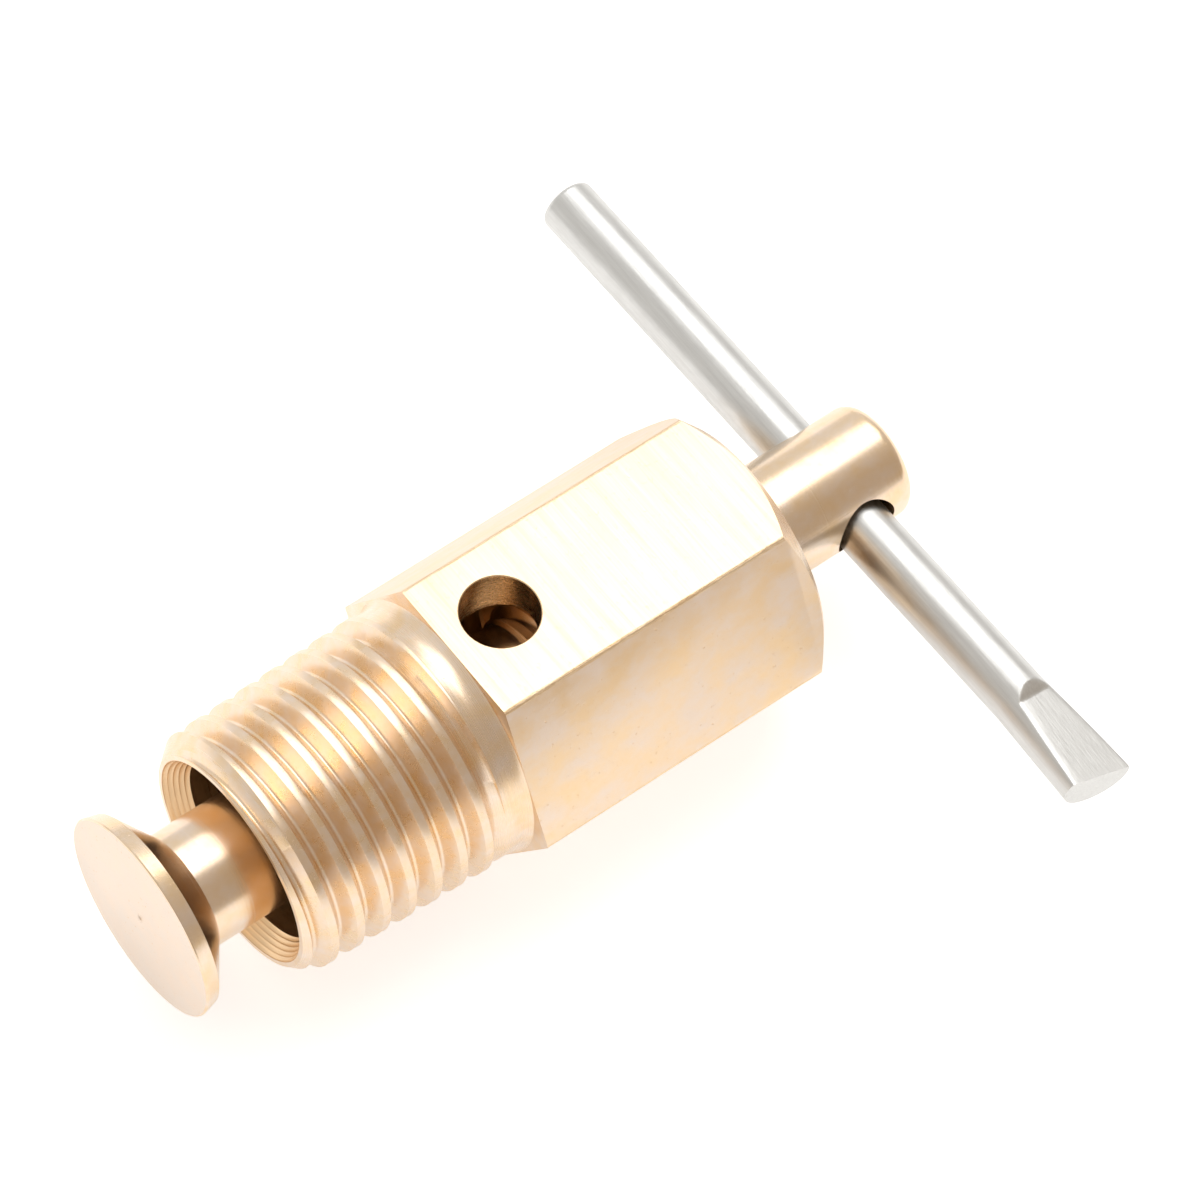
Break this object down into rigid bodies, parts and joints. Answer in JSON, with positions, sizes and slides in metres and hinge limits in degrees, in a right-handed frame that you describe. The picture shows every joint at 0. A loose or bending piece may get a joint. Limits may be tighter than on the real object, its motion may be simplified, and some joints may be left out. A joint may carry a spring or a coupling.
{
  "type": "radiator drain valve",
  "caption": "Brass radiator drain valve: tapered pipe thread, hexagon with a drain hole in one flat, screw-down spindle with a cone head, and a loose cross bar to turn it.",
  "frame": {"origin": "on the valve's axis, in the plane of the hexagon's shoulder, where the tapered thread begins", "axes": "+X along the axis from the threaded nose to the handle end, +Z out of the flat that the drain hole is drilled in, +Y towards the plain end of the cross bar; the valve lies on the flat opposite the drain hole"},
  "size_m": [0.0454, 0.0424, 0.0142],
  "materials": {
    "turned_brass": "turned and drawn, bright",
    "satin_brass": "turned, satin",
    "zinc_steel": "zinc plated"
  },
  "bodies": {
    "body": {"body": "turned_brass"},
    "spindle": {"spindle": "satin_brass"},
    "tee_bar": {"tee_bar": "zinc_steel"}
  },
  "joints": [
    {"name": "spindle_turn", "type": "hinge", "parent": "body", "child": "spindle", "pos_m": [0, 0, 0], "axis": [1, 0, 0], "range_deg": [-1253, 1452]},
    {"name": "bar_slide", "type": "slide", "parent": "spindle", "child": "tee_bar", "axis": [-0.0131, 0.9999, 0], "range_m": [-0.0151, 0.0118]}
  ]
}
